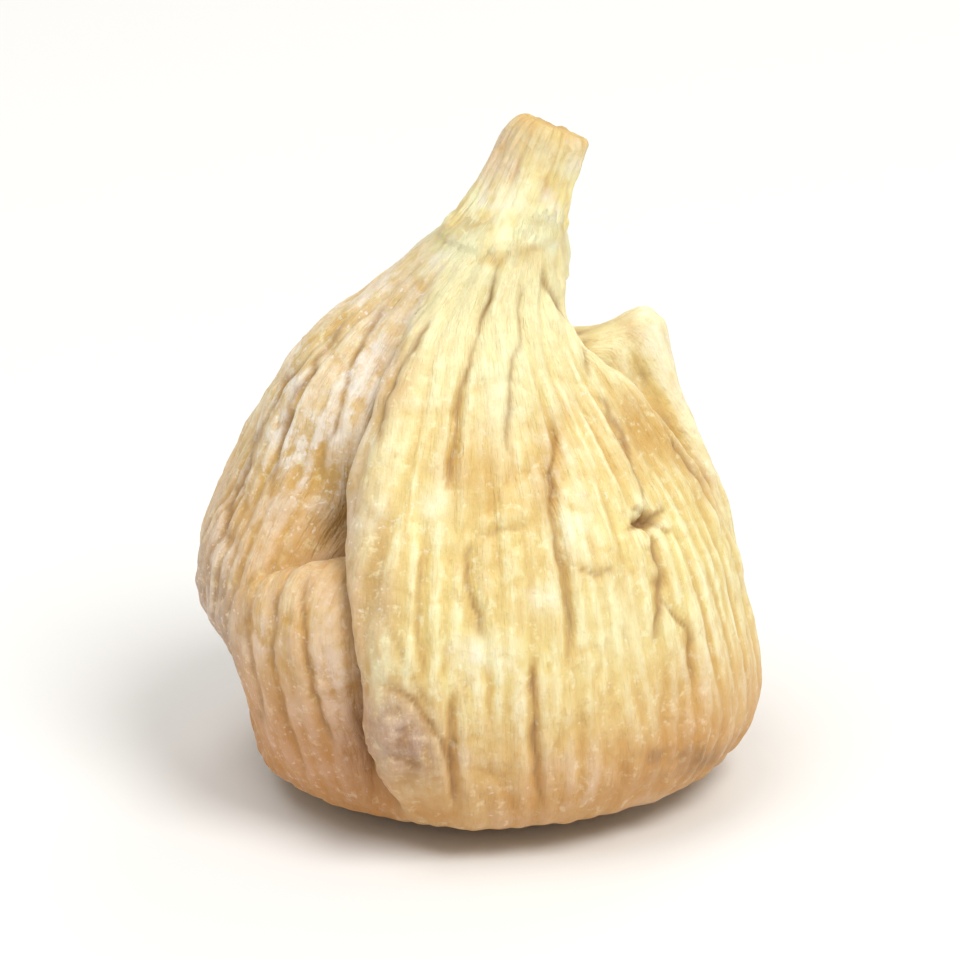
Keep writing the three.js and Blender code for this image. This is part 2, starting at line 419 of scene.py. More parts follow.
# creases: a narrow valley with soft lips along each line
CREASES = [   # line in the photograph, depth, half width, lip
    ([(451.7, 143), (450.7, 158.8), (446.4, 173.2), (441.6, 187.6), (437.3, 202), (434.4, 216.4), (432, 230.8), (430.8, 242.8), (427.2, 259.6)], 0.62, 0.42, 0.16),
    ([(478.8, 216), (478, 242.8), (477, 259.6), (478.8, 276.4), (481.2, 290.8), (484.3, 307.6), (485.3, 322), (483.6, 336.4)], 0.75, 0.45, 0.2),
    ([(471.6, 150), (476.4, 166), (483.6, 175.6), (489.6, 182.8), (492, 194.8), (495.6, 206)], 0.7, 0.45, 0.2),
    ([(520.8, 268), (524, 284), (526, 296), (525, 312), (524, 325)], 0.55, 0.36, 0.18),
    ([(524, 296), (530.4, 310), (537.6, 319.6), (541.2, 331.6), (541, 345)], 0.45, 0.36, 0.15),
    ([(430.8, 346), (431.5, 365), (432, 382), (433, 400)], 0.5, 0.36, 0.14),
    ([(468, 328), (468, 346), (468.7, 362.8), (469.9, 382), (471, 400)], 0.5, 0.36, 0.14),
    ([(400, 296), (401, 310), (406, 324), (412, 337), (420, 350), (425, 358)], 0.16, 0.4, 0.05),
    ([(417.6, 279), (416.4, 293.2), (416, 307.6), (417, 324.4), (421, 338.8)], 0.24, 0.4, 0.08),
    ([(439.2, 274), (438, 293.2), (441.6, 310), (446.4, 324)], 0.35, 0.4, 0.15),
    ([(422.4, 172), (412.8, 190), (405, 206.8), (399, 223.6), (395, 240)], 0.4, 0.45, 0.15),
    ([(463, 160), (463, 178), (459, 200), (457, 222), (458, 240)], 0.3, 0.4, 0.1),
    ([(484.8, 289.6), (496.8, 292), (506.4, 289.6)], 0.28, 0.35, 0.12),
    ([(443, 273), (453.6, 272), (468, 268.5)], 0.16, 0.3, 0.05),
    ([(520.8, 267), (516, 269), (511.5, 272)], 0.5, 0.25, 0.05),
    ([(520.8, 267), (517, 263.5), (513, 261)], 0.5, 0.25, 0.04),
    ([(520.8, 267), (525, 263), (530, 261)], 0.5, 0.25, 0.04),
    ([(520.8, 267), (526, 269), (532, 273)], 0.5, 0.25, 0.05),
    ([(511, 184), (519, 203), (532, 230), (546, 252), (553, 264)], 0.7, 0.6, 0.25),
    ([(497, 208), (507, 226), (514, 244), (519, 262)], 0.35, 0.4, 0.15),
    ([(397, 345), (408, 346), (420, 357), (429, 374), (434, 394)], 0.45, 0.42, 0.05),
    ([(352, 292), (349, 312), (350, 334), (356, 360), (366, 388)], 0.3, 0.42, 0.1),
    ([(366, 287), (364, 308), (366, 332), (372, 356), (380, 378)], 0.34, 0.42, 0.1),
    ([(339, 298), (338, 318), (341, 340), (347, 366)], 0.26, 0.4, 0.1),
    ([(405, 165), (393, 182), (385, 200), (379, 220), (374, 238)], 0.42, 0.5, 0.15),
    ([(389, 172), (372, 192), (360, 214), (352, 238), (347, 262)], 0.36, 0.5, 0.14),
    ([(372, 184), (354, 208), (340, 236), (331, 262), (327, 284)], 0.35, 0.45, 0.15),
]
normal = normals_of(blur(skin, 3))
flat_px = to_px(skin.reshape(-1, 3))
facing = front(skin, normal).reshape(-1)
push = np.zeros(flat_px.shape[0])
guide = crease_guide.reshape(-1)
# painted shade in the valleys of the creases and the hole
valley_shade = np.zeros(flat_px.shape[0])
crease_shade_line = np.zeros(flat_px.shape[0])     # painted shade: the thin dark line at the bottom of a crease
flat_skin = skin.reshape(-1, 3)
sway = np.stack([noise3(flat_skin / 2.4, 75 + k) * 2.4 + noise3(flat_skin / 0.95, 77 + k) * 1.3 for k in (0, 1)], -1)      # pixels
for points, depth, half, lip in CREASES:
    depth, half, lip = 0.72 * depth, 0.52 * half, 0.5 * lip
    ids, d, t = along(flat_px + sway, points, 3.5)
    w = facing[ids] * smooth(t / 0.18) * smooth((1 - t) / 0.18)
    # a line drawn by hand is never even: its depth comes and goes
    w = w * (0.75 + 0.45 * noise3(np.stack([t * 7, 0 * t + depth * 31, 0 * t + points[0][0]], -1), 5))
    dl = np.abs(d)
    push[ids] += w * (-depth * np.exp(-((dl / half) ** 1.25)) + lip * np.exp(-(((dl - 3.2 * half) / (1.8 * half)) ** 2)))
    if abs(points[-1][1] - points[0][1]) > 2.5 * abs(points[-1][0] - points[0][0]):
        guide[ids] = np.maximum(guide[ids], w * np.exp(-((dl / 0.55) ** 2)))
    valley_shade[ids] = np.maximum(valley_shade[ids], w * np.exp(-((dl / (1.7 * half)) ** 2)) * min(1.0, depth / 0.45))
    crease_shade_line[ids] = np.maximum(crease_shade_line[ids], w * np.exp(-((dl / 0.17) ** 2)) * min(1.0, depth / 0.26))
push = 0.5 * push + 0.5 * blur(push.reshape(shape), 1).reshape(-1)
valley_shade = blur(valley_shade.reshape(shape), 1).reshape(-1)
# the small hole with its puckers
HOLE = np.array([520.8, 267.5])
off = (flat_px - HOLE) * PX_MM
r_hole = np.hypot(off[:, 0], off[:, 1] * 1.25)
a_hole = np.arctan2(off[:, 1], off[:, 0])
pit = np.exp(-((r_hole / (0.62 + 0.16 * np.cos(4 * a_hole + 0.5))) ** 2.4)) * facing
star = np.clip(np.cos(3.0 * a_hole + 0.7) * 0.6 + np.cos(5.0 * a_hole - 1.1) * 0.5, -1, 1) * np.exp(-((r_hole / 1.9) ** 2)) * smooth(r_hole / 0.5) * facing
push += -1.1 * pit + 0.16 * star - 0.25 * np.exp(-((r_hole / 1.6) ** 2)) * facing
valley_shade = np.maximum(valley_shade, np.clip(1.2 * pit, 0, 1))
# the hole's painted shade
hole_mask = pit.reshape(shape)
push += 0.2 * np.exp(-((np.abs((flat_px[:, 1] - (268.5 - 0.2 * (flat_px[:, 0] - 444)))) * PX_MM / 0.42) ** 2)) * np.exp(-(((flat_px[:, 0] - 455) / 11) ** 4)) * facing

# ------------------------------------------------------------------ ribs: a buckling pattern on the skin
girth = np.linalg.norm(np.roll(base, -1, 1) - base, axis=-1).sum(1)
row_step = arc[1] - arc[0]


def regrid(field, frm, to):
    """A field on columns at angles frm, read at angles to."""
    a = np.concatenate([frm[-1:] - 2 * math.pi, frm, frm[:1] + 2 * math.pi])
    return np.stack([np.interp((to - a[1]) % (2 * math.pi) + a[1], a, np.concatenate([r[-1:], r, r[:1]])) for r in field])


def buckle(wave, reach, force, seed, steps=140, drive=0.6, dt=0.25):
    """Stripes of a set wavelength (mm, by row) along the meridians, which merge and split where the girth changes."""
    rng = np.random.default_rng(seed)
    q = 2 * math.pi * np.arange(COLS // 2 + 1)[None] / np.maximum(girth, 1e-3)[:, None]
    k = 2 * math.pi / wave
    growth = np.exp(dt * np.maximum(drive - (1 - (q / k) ** 2) ** 2, -12))
    p = 2 * math.pi * np.fft.rfftfreq(2 * ROWS, row_step)
    spread = np.exp(-dt * drive * (reach * p) ** 2)[:, None]
    w = rng.normal(size=(ROWS, COLS)) * 0.2
    force = regrid(force, theta, even)
    for _ in range(steps):
        w = w + dt * (force - w**3)
        w = np.fft.irfft(np.fft.rfft(w, axis=1) * growth, n=COLS, axis=1)
        w = np.fft.irfft(np.fft.rfft(np.concatenate([w, w[::-1]]), axis=0) * spread, n=2 * ROWS, axis=0)[:ROWS]
    return regrid(w, even, theta) / math.sqrt(4 * drive / 3)


def crests(w):
    """Rounded crests and narrow valleys out of a wave of -1 to 1."""
    return 2 * np.sqrt(np.clip(0.5 + 0.5 * w, 0, 1)) - 1


def bands(w):
    """Flat bands parted by thin valleys out of a wave of -1 to 1."""
    return 1 - 2 * np.clip(0.5 - 0.5 * w, 0, 1) ** 3.6


to_neck = smooth((zz - 20) / 16)
guide = guide.reshape(shape)
tall = base * np.array([1.0, 1.0, 0.55])      # noise in these coordinates is drawn out along the fruit
rib_wave = 2.3 - 0.75 * smooth((Z - 20) / 17)
rib_force = -1.1 * guide + 0.45 * noise3(tall / 2.6, 21) + 0.15 * noise3(base / 7.0, 22)
rib_wave_field = np.clip(buckle(rib_wave, 1.1, rib_force, 11), -1, 1)
# in some places the crests are broad and the valleys narrow, in others thin veins stand on sunken skin
veins = smooth(0.35 + 1.1 * noise3(base / 6.0, 23))
flat_top = facing.reshape(shape) * (1 - 0.5 * veins)
ribs = flat_top * bands(rib_wave_field) + (1 - flat_top) * ((1 - veins) * crests(rib_wave_field) - veins * crests(-rib_wave_field))
ribs -= ribs.mean()
folds = crests(np.clip(buckle(7.5 - 2.5 * smooth((Z - 18) / 18), 2.6, 0.35 * noise3(base / 7.0, 31), 12), -1, 1))
folds -= folds.mean()
fine = buckle(1.35 + 0 * Z, 0.6, 0.5 * noise3(tall / 1.6, 41), 13)
# crumpling: rounded lumps parted by creases that run every way
lumps = noise3(tall / 4.4 + 0.35 * noise3(base / 3.0, 42)[..., None], 43)
lumps2 = noise3(tall / 2.1 + 0.35 * noise3(base / 1.7, 44)[..., None], 45)
crumple = 0.34 * (np.abs(lumps) ** 0.7 - 0.33) + 0.17 * (np.abs(lumps2) ** 0.7 - 0.33)
crack = np.maximum(1 - smooth(np.abs(lumps) / 0.10), 0.6 * (1 - smooth(np.abs(lumps2) / 0.12)))

patch = smooth(0.5 + 1.1 * noise3(base / 5.5, 51))
back_side = 1 - facing.reshape(shape)
up_sides = smooth((base[..., 2] - 0.5) / 3.0)
side_amp = up_sides * np.where((part >= 2)[:, None], 1, 0)
on_neck = smooth((NECK_Z + 2.7 - zz) / 4.2)
open_skin = 1 - 0.7 * np.clip(blur(fold_depth, 2), 0, 1)
set_back = smooth((0.3 - beyond.reshape(shape)) / 1.2)      # the left-hand lobe
rib_h = (1 - 0.4 * set_back) * (0.07 + 0.09 * patch + 0.06 * to_neck + 0.10 * back_side) * ribs * side_amp * open_skin * (1 - 0.45 * smooth((12 - zz) / 10)) * on_neck
fold_h = (1 - 0.5 * set_back) * (0.10 + 0.70 * back_side) * folds * side_amp * open_skin * smooth((zz - 1.5) / 5) * (0.5 + 0.8 * patch) * np.where(on_sides, smooth((NECK_Z - zz) / 4), 0)
fine_h = (0.045 + 0.06 * (1 - patch)) * fine * side_amp * open_skin * on_neck
crumple_h = crumple * up_sides * open_skin * np.where(on_sides, smooth((NECK_Z + 1 - zz) / 9), 0) * (0.5 + 0.6 * (1 - patch))
rough_h = (0.11 * fbm(base / 1.3, 3, seed=61) * side_amp + 0.15 * noise3(base * np.array([0.45, 0.45, 1.1]), 63) * window3(zz, 35.5, 38.6, 41.4)) * smooth((NECK_Z + 3.3 - zz) / 2.5)

normal = normals_of(blur(skin, 5))
height = push.reshape(shape) + rib_h + fold_h + fine_h + crumple_h + rough_h
skin = skin + normal * height[..., None]

# the eye: a puckered hollow with a ring of small scales under the fruit
under = smooth((10.5 - eye_r) / 6.0) * smooth(eye_r / 0.8) * np.where((part < 2)[:, None], 1, 0)
pucker = crests(np.clip(np.cos(12 * theta[None] + 1.6 * noise3(base / 2.5, 71)), -1, 1))
skin[..., 2] += under * (0.16 - 0.16 * pucker) + 0.25 * np.where((part == 0)[:, None], np.cos(5.0 * eye_r) * smooth((EYE_R - eye_r) / 1.0), 0)
# it stands on its foot: nothing goes below the floor
skin[..., 2] = 0.5 * (skin[..., 2] + np.sqrt(skin[..., 2] ** 2 + 0.25**2))
skin[..., 2] -= skin[..., 2].min()
skin[0] = skin[0].mean(0)
skin[-1] = skin[-1].mean(0)

# ------------------------------------------------------------------ masks for the skin's colours, and for its painted light and shade
n_final = normals_of(skin)
bend = ((blur(skin, 6) - skin) * n_final).sum(-1)       # above 0 in hollows
bend_wide = ((blur(skin, 40) - skin) * n_final).sum(-1)
# crest gives a painted highlight on the ridges, painted shade between them, and more bloom on the ridges; hollow gives
# painted shade in the wide hollows
crest = np.clip(0.5 - bend * (1 - 0.5 * to_neck) / 0.15 + 0.15 * to_neck, 0, 1)
hollow_shade_mask = np.clip(bend_wide / 0.9, 0, 1)
# painted shade in the folds
fold_shade = np.clip(fold_depth, 0, 1)

flat_px = to_px(skin.reshape(-1, 3))
facing = front(skin, n_final).reshape(-1)
ids, d, t = along(flat_px, FOLD, 40.0)
left_lobe = np.zeros(flat_px.shape[0])
left_lobe[ids] = smooth((0.6 - d) / 1.2) * facing[ids]
fold_edge_shade = np.zeros(flat_px.shape[0])      # painted shade: the main lobe's edge beside the fold, where it turns away, is darker too
fold_edge_shade[ids] = np.exp(-(np.abs(d - 0.9) / 1.5) ** 2.5) * window3(t, 0.2, 0.55, 0.95) * facing[ids]
fold_edge_shade = fold_edge_shade.reshape(shape)
left_lobe = left_lobe.reshape(shape)
# the set-back lobe and parts of the back are grey and rosy; painted shade on the main lobe's edge beside the fold
grey_and_edge_shade = np.clip(left_lobe + 0.6 * fold_edge_shade + (1 - facing.reshape(shape)) * smooth(0.5 + 0.8 * noise3(base / 11.0, 81)), 0, 1)
bloom_and_pleat_highlight = (
    0.85 * blob((378, 336), (1.3, 3.4), -8)
    + 0.8 * blob((375, 225), (1.2, 1.0))
    + 0.6 * blob((374, 255), (0.8, 1.2))
    + 0.6 * blob((342, 323), (1.4, 1.3))
    + 0.5 * blob((408, 368), (2.0, 2.6))
    + 0.6 * blob((362, 232), (2.4, 2.0))
    + 0.95 * blob((393, 197), (1.3, 4.4), 18)
    + 0.5 * blob((322, 290), (1.4, 4.0))
    + 0.45 * blob((424, 262), (1.0, 1.8))
    + 0.5 * blob((445, 329), (1.6, 1.2))
    + 0.45 * blob((472, 305), (1.0, 1.0))
    + 0.35 * blob((486, 272), (1.4, 2.4))
    + 0.3 * blob((470, 140), (4.0, 1.6))
    # a painted highlight along the pleat's crest
    + 0.6 * blob((535, 205), (1.3, 5.5), -28)
    + 0.5 * blob((362, 214), (2.6, 3.0), 20)
).reshape(shape)
bloom_and_pleat_highlight = np.clip(bloom_and_pleat_highlight + (0.5 + 0.35 * smooth((zz - 20) / 8)) * grey_and_edge_shade * smooth(0.35 + 1.1 * fbm(base / 3.0, 3, seed=91)) * smooth((zz - 8) / 10), 0, 1)
# painted shade down the left-hand edge and beside the fold; the nodule's grey crust is its own
ash_and_edge_shade = np.clip(smooth((-14.8 - skin[..., 0]) / 2.8) * smooth((5 - skin[..., 1]) / 6) * window3(zz, 3, 12, 26) + 0.25 * fold_edge_shade + 0.7 * blob((407, 367), (2.0, 3.0), -38, 2.2).reshape(shape) * (1.0 + 0.9 * fbm(skin / 1.6, 3, seed=85)), 0, 1)
# orange patches of the skin's own, with painted shade in the pocket, along some creases and low down
amber_and_shade = (
    1.2 * blob((407, 204), (1.5, 2.8), 22)
    + 0.8 * blob((516, 232), (2.0, 2.6), -30)
    + 0.8 * blob((448, 250), (3.2, 3.6))
    + 1.1 * blob((476, 247), (1.1, 3.6))
    + 0.9 * blob((400, 304), (1.6, 2.4))
    + 1.0 * blob((366, 262), (3.0, 3.4))
    + 1.0 * blob((372, 239), (1.5, 1.2))
    + 0.9 * blob((358, 251), (1.6, 1.7))
    + 0.6 * blob((490, 290), (3.0, 1.0))
    + 0.7 * blob((536, 345), (3.2, 2.0), 30)
    + 0.9 * blob((530, 378), (4.0, 2.2), -10)
    + 0.5 * blob((446, 286), (1.2, 3.0))
    + 0.7 * blob((534, 236), (0.9, 4.0), -32)
    + 0.9 * blob((512, 181), (0.8, 1.2), -30)
    + 1.0 * blob((515, 220), (0.9, 2.4), -35)
    + 0.3 * blob((430, 246), (1.2, 3.0))
).reshape(shape)
amber_and_shade = np.clip(amber_and_shade + 0.6 * smooth(-0.1 + 1.2 * fbm(base / 6.0, 3, seed=95)) * (0.4 + 0.6 * back_side) + 0.95 * smooth((13 - zz) / 11), 0, 1)
# painted shade low down, on the lower left-hand lobe and in the pocket; the nodule and a patch low on the right are
# duller too
dull_and_shade = np.clip(left_lobe * smooth((17 - zz) / 9) + 0.8 * blob((410, 370), (2.8, 3.0)).reshape(shape) + 0.75 * smooth((9 - zz) / 8.5) + 0.5 * blob((535, 372), (4.5, 3.0), -10).reshape(shape) + 0.5 * blob((531, 379), (2.8, 1.6), -15).reshape(shape) + 0.7 * left_lobe * blob((372, 258), (3.0, 3.6)).reshape(shape), 0, 1)
straw = np.clip((1 - grey_and_edge_shade) * (0.75 + 0.5 * fbm(base / 8.0, 2, seed=97)), 0, 1)
# painted shade in the rib valleys and cracks as well
valley_shade = np.clip(valley_shade.reshape(shape) + 0.7 * np.clip(-ribs * side_amp * on_neck - 0.45, 0, 1) * (1 - 0.6 * to_neck) + 0.35 * crack * side_amp, 0, 1)
# the lower parts darker and browner: partly their own colour, partly painted shade
low = smooth((17 - zz) / 12) * (0.6 + 0.4 * facing.reshape(shape))
# the lower left-hand lobe tanner and darker: partly its own colour, partly painted shade
warm_and_shade = np.clip(left_lobe * smooth((26 - zz) / 7), 0, 1)
# a painted highlight over the upper front of the main lobe, and pale spots of the skin's own
pale_and_top_highlight = 0.42 * smooth((zz - 27) / 8) * facing.reshape(shape) * (1 - left_lobe)
spots = blob((424, 262), (0.9, 1.6)) + blob((446, 329), (1.7, 1.3)) + blob((472, 304), (1.0, 1.1)) + blob((487, 272), (1.3, 2.3)) + 0.7 * blob((455, 215), (1.2, 3.6)) + 0.6 * blob((505, 315), (2.6, 2.8))
pale_and_top_highlight = np.clip(pale_and_top_highlight + 0.75 * spots.reshape(shape) * smooth(0.75 + 1.2 * fbm(base / 1.6, 3, seed=83)), 0, 1)
crust = np.clip(blob((407, 367), (2.2, 3.2), -38, 2.2).reshape(shape) * (1.0 + 0.9 * fbm(base / 1.6, 3, seed=85)), 0, 1)
# a brown patch low on the right
lower_right_brown = (blob((531, 376), (2.3, 1.1), -10) + 0.7 * blob((547, 377), (1.6, 0.9), -30)).reshape(shape) * smooth(0.55 + 1.6 * fbm(base / 1.5, 3, seed=99))
# painted shade in the folds, the pocket, the gap and the hole; also a brown patch low on the right and the eye's darker
# middle
crease_shade_and_dark_spots = np.clip(0.85 * lower_right_brown + fold_shade + 1.1 * hole_mask + 0.6 * smooth((3.6 - eye_r) / 2.5) * np.where((part < 2)[:, None], 1, 0), 0, 1)

# ------------------------------------------------------------------ meshes
def grid_mesh(name, points, attributes, flow):
    """A closed mesh from a grid of rings whose first and last rows are single points."""
    rows_n, cols_n = points.shape[:2]
    verts = np.concatenate([points[0, :1], points[1:-1].reshape(-1, 3), points[-1, :1]]) * 0.001
    last = len(verts) - 1
    faces = []
    for c0 in range(cols_n):
        c1 = (c0 + 1) % cols_n
        faces.append((0, 1 + c1, 1 + c0))
    for r0 in range(rows_n - 3):
        a, b = 1 + r0 * cols_n, 1 + (r0 + 1) * cols_n
        for c0 in range(cols_n):
            c1 = (c0 + 1) % cols_n
            faces.append((a + c0, a + c1, b + c1, b + c0))
    a = 1 + (rows_n - 3) * cols_n
    for c0 in range(cols_n):
        faces.append((a + c0, a + (c0 + 1) % cols_n, last))
    mesh = bpy.data.meshes.new(name)
    mesh.from_pydata(verts.tolist(), [], faces)
    mesh.polygons.foreach_set("use_smooth", [True] * len(mesh.polygons))

    def pick(field):
        return np.concatenate([field[0, :1], field[1:-1].reshape(-1, *field.shape[2:]), field[-1, :1]])

    for key, field in attributes.items():
        mesh.attributes.new(key, "FLOAT", "POINT").data.foreach_set("value", pick(field).astype(np.float32))
    mesh.attributes.new("flow", "FLOAT_VECTOR", "POINT").data.foreach_set("vector", pick(flow).astype(np.float32).ravel())
    mesh.update()
    obj = bpy.data.objects.new(name, mesh)
    bpy.context.scene.collection.objects.link(obj)
    return obj


flow = np.stack(
    [np.broadcast_to(18 * np.cos(theta)[None], shape), np.broadcast_to(18 * np.sin(theta)[None], shape), np.broadcast_to(arc[:, None], shape)], -1
)
fruit = grid_mesh(
    "fig_fruit",
    skin,
    {"crest": crest, "hollow_shade": hollow_shade_mask, "valley_shade": valley_shade, "crease_shade_and_dark_spots": crease_shade_and_dark_spots, "bloom_and_pleat_highlight": bloom_and_pleat_highlight, "amber_and_shade": amber_and_shade, "straw": straw, "grey_and_edge_shade": grey_and_edge_shade, "dull_and_shade": dull_and_shade, "ash_and_edge_shade": ash_and_edge_shade, "line": crease_shade_line.reshape(shape), "low": low, "warm_and_shade": warm_and_shade, "crust": crust, "pale_and_top_highlight": pale_and_top_highlight, "neck": smooth((zz - 35.4) / 3.0 + 0.35 * noise3(base / 1.5, 87))},
    flow,
)

# ------------------------------------------------------------------ the stem
CUT_SLOPE, CUT_BACK = -0.34, -0.22      # the cut falls to the right and a little to the back
S_COLS, S_SIDE, S_CAP = 168, 120, 26


def spline(points, t):
    n = len(points)
    p = np.clip(t, 0, 1) * (n - 1)
    i = np.minimum(np.floor(p).astype(int), n - 2)
    f = (p - i)[:, None]
    p0, p1, p2, p3 = points[np.maximum(i - 1, 0)], points[i], points[i + 1], points[np.minimum(i + 2, n - 1)]
    return 0.5 * (2 * p1 + (p2 - p0) * f + (2 * p0 - 5 * p1 + 4 * p2 - p3) * f**2 + (3 * p1 - p0 - 3 * p2 + p3) * f**3)


st = np.linspace(0, 1, S_SIDE)
line = spline(STEM, st)
sa = 2 * math.pi * np.arange(S_COLS) / S_COLS
ca, sn = np.cos(sa)[None], np.sin(sa)[None]
r_side = line[:, 3:4] * (1 + 0.035 * np.cos(4 * sa + 0.6)[None])
round_pt = np.stack([3.0 * ca + 0 * st[:, None], 3.0 * sn + 0 * st[:, None], 9.0 * st[:, None] + 0 * sa[None]], -1)
ridge = crests(np.clip(np.cos(8 * sa[None] + 3.2 * noise3(round_pt * np.array([0.5, 0.5, 0.25]), 101) + 0.9 * np.sin(2 * sa)[None]), -1, 1))
ridge2 = crests(np.clip(np.cos(23 * sa[None] + 2.5 * noise3(round_pt * np.array([0.6, 0.6, 0.3]), 103)), -1, 1))
rough = fbm(round_pt * np.array([1.2, 1.2, 0.7]), 3, seed=105)
fade = smooth((1.0 - st) / 0.06)[:, None]
uneven = smooth(0.5 + 1.3 * noise3(round_pt * np.array([0.33, 0.33, 0.3]), 104))
r_side = r_side + (0.11 * ridge * uneven + 0.05 * ridge2) * (0.4 + 0.6 * fade) + 0.26 * rough
side = np.stack([line[:, 0:1] + r_side * ca, line[:, 1:2] + r_side * sn, line[:, 2:3] + 0 * r_side], -1)
# the upper rings lean until the last lies in the slanted cut
lean = smooth((st - 0.55) / 0.45)[:, None]
side[..., 2] += lean * (CUT_SLOPE * (side[..., 0] - line[:, 0:1]) + CUT_BACK * (side[..., 1] - line[:, 1:2]))
cf = (1 - np.linspace(0, 1, S_CAP + 1)[1:])[:, None]
rim = side[-1].copy()
top_c = np.array([line[-1, 0], line[-1, 1], line[-1, 2]])
cap = top_c + cf[..., None] * (rim - top_c)[None]
cap_pt = np.stack([cf * ca * 2.4, cf * sn * 2.4, 0 * cf * ca + 5.0], -1)
dish = 0.12 * (1 - cf**2) + 0.30 * fbm(cap_pt * 0.9, 3, seed=107) * (1 - cf**4) + 0.04 * np.cos(14 * cf) * (1 - cf**4)
cap[..., 2] += dish
cap[-1] = cap[-1].mean(0)
# a worn, rounded end: the last millimetre draws in along a quarter round
worn = 0.95 + 0.5 * noise3(np.stack([1.3 * np.cos(sa), 1.3 * np.sin(sa), 0 * sa], -1), 109)
to_end = (line[-1, 2] - line[:, 2])[:, None]
bent = np.clip(1 - to_end / worn[None], 0, 1)
draw_in = 0.62 * worn[None] * (1 - np.sqrt(np.clip(1 - bent**2, 0, 1)))
away = side[..., :2] - line[:, None, :2]
side[..., :2] -= away / np.linalg.norm(away, axis=-1, keepdims=True) * draw_in[..., None]
cap = top_c + cf[..., None] * (side[-1] - top_c)[None]
cap[..., 2] += dish
cap[-1] = cap[-1].mean(0)
bottom = np.broadcast_to(np.array([0.6, 1.5, 34.2]), (1, S_COLS, 3))
stem_pts = np.concatenate([bottom, side, cap])
s_shape = stem_pts.shape[:2]
one = np.ones((1, S_COLS))
# crest_s gives a painted highlight on the stem's ridges and painted shade between them
crest_s = np.concatenate([0.5 * one, 0.5 + 0.35 * ridge + 0.2 * ridge2, 0.5 + 0 * cf * one])
cut_s = np.concatenate([0 * one, smooth((st - 0.985) / 0.015)[:, None] * one, one + 0 * cf])
along_s = np.concatenate([0 * one, st[:, None] * one, one + 0 * cf])
flow_s = np.concatenate([np.zeros((1, S_COLS, 3)), round_pt, cap_pt + np.array([0, 0, 7.0])])
ring_s = np.concatenate([one, one + 0 * st[:, None], cf * one])
shade_s = smooth((-np.concatenate([ca, ca + 0 * st[:, None], cf * ca]) - 0.1) / 0.9) * smooth((1.0 - along_s) / 0.2)      # painted shade: its left-hand side is greyed and rosy
stem = grid_mesh("fig_stem", stem_pts, {"crest": crest_s, "cut": cut_s, "along": along_s, "ring": ring_s, "shade": shade_s}, flow_s)

# ------------------------------------------------------------------ materials
def rgb(r, g, b):
    return (r, g, b, 1.0)


class Nodes:
    def __init__(self, name):
        self.mat = bpy.data.materials.new(name)
        self.mat.use_nodes = True
        self.tree = self.mat.node_tree
        self.tree.nodes.clear()
        self.out = self.tree.nodes.new("ShaderNodeOutputMaterial")
        self.bsdf = self.tree.nodes.new("ShaderNodeBsdfPrincipled")
        self.link(self.bsdf.outputs["BSDF"], self.out.inputs["Surface"])

    def link(self, a, b):
        self.tree.links.new(a, b)

    def put(self, socket, value):
        if isinstance(value, bpy.types.NodeSocket):
            self.link(value, socket)
        else:
            socket.default_value = value

    def attr(self, name, vector=False):
        n = self.tree.nodes.new("ShaderNodeAttribute")
        n.attribute_name = name
        return n.outputs["Vector" if vector else "Fac"]

    def place(self, vector, scale):
        n = self.tree.nodes.new("ShaderNodeMapping")
        n.inputs["Scale"].default_value = scale
        self.link(vector, n.inputs["Vector"])
        return n.outputs["Vector"]

    def spot(self):
        n = self.tree.nodes.new("ShaderNodeTexCoord")
        return n.outputs["Object"]

    def noise(self, vector, scale, detail=3.0, rough=0.55, distortion=0.0):
        n = self.tree.nodes.new("ShaderNodeTexNoise")
        n.inputs["Scale"].default_value = scale
        n.inputs["Detail"].default_value = detail
        n.inputs["Roughness"].default_value = rough
        n.inputs["Distortion"].default_value = distortion
        self.link(vector, n.inputs["Vector"])
        return n.outputs["Fac"]

    def math(self, op, a, b=0.0, clamp=False):
        n = self.tree.nodes.new("ShaderNodeMath")
        n.operation = op
        n.use_clamp = clamp
        self.put(n.inputs[0], a)
        self.put(n.inputs[1], b)
        return n.outputs[0]

    def span(self, value, a, b, c=0.0, d=1.0):
        n = self.tree.nodes.new("ShaderNodeMapRange")
        n.interpolation_type = "SMOOTHSTEP"
        for key, v in (("From Min", a), ("From Max", b), ("To Min", c), ("To Max", d)):
            n.inputs[key].default_value = v
        self.link(value, n.inputs["Value"])
        return n.outputs["Result"]

    def mix(self, fac, a, b, blend="MIX"):
        n = self.tree.nodes.new("ShaderNodeMix")
        n.data_type = "RGBA"
        n.blend_type = blend
        n.clamp_factor = True
        self.put(n.inputs["Factor"], fac)
        self.put(n.inputs[6], a)
        self.put(n.inputs[7], b)
        return n.outputs[2]

    def bump(self, height, strength, distance, normal=None):
        n = self.tree.nodes.new("ShaderNodeBump")
        n.inputs["Strength"].default_value = strength
        n.inputs["Distance"].default_value = distance
        self.link(height, n.inputs["Height"])
        if normal is not None:
            self.link(normal, n.inputs["Normal"])
        return n.outputs["Normal"]


STRAW = rgb(0.80, 0.69, 0.29)
PALE = rgb(0.90, 0.885, 0.59)
TAN = rgb(0.70, 0.50, 0.20)
AMBER = rgb(0.60, 0.37, 0.11)
DULL = rgb(0.58, 0.385, 0.20)
BROWN = rgb(0.30, 0.155, 0.06)
ROSE = rgb(0.83, 0.645, 0.43)
ASH = rgb(0.365, 0.29, 0.245)
BLOOM_AND_HIGHLIGHT = rgb(0.90, 0.85, 0.77)


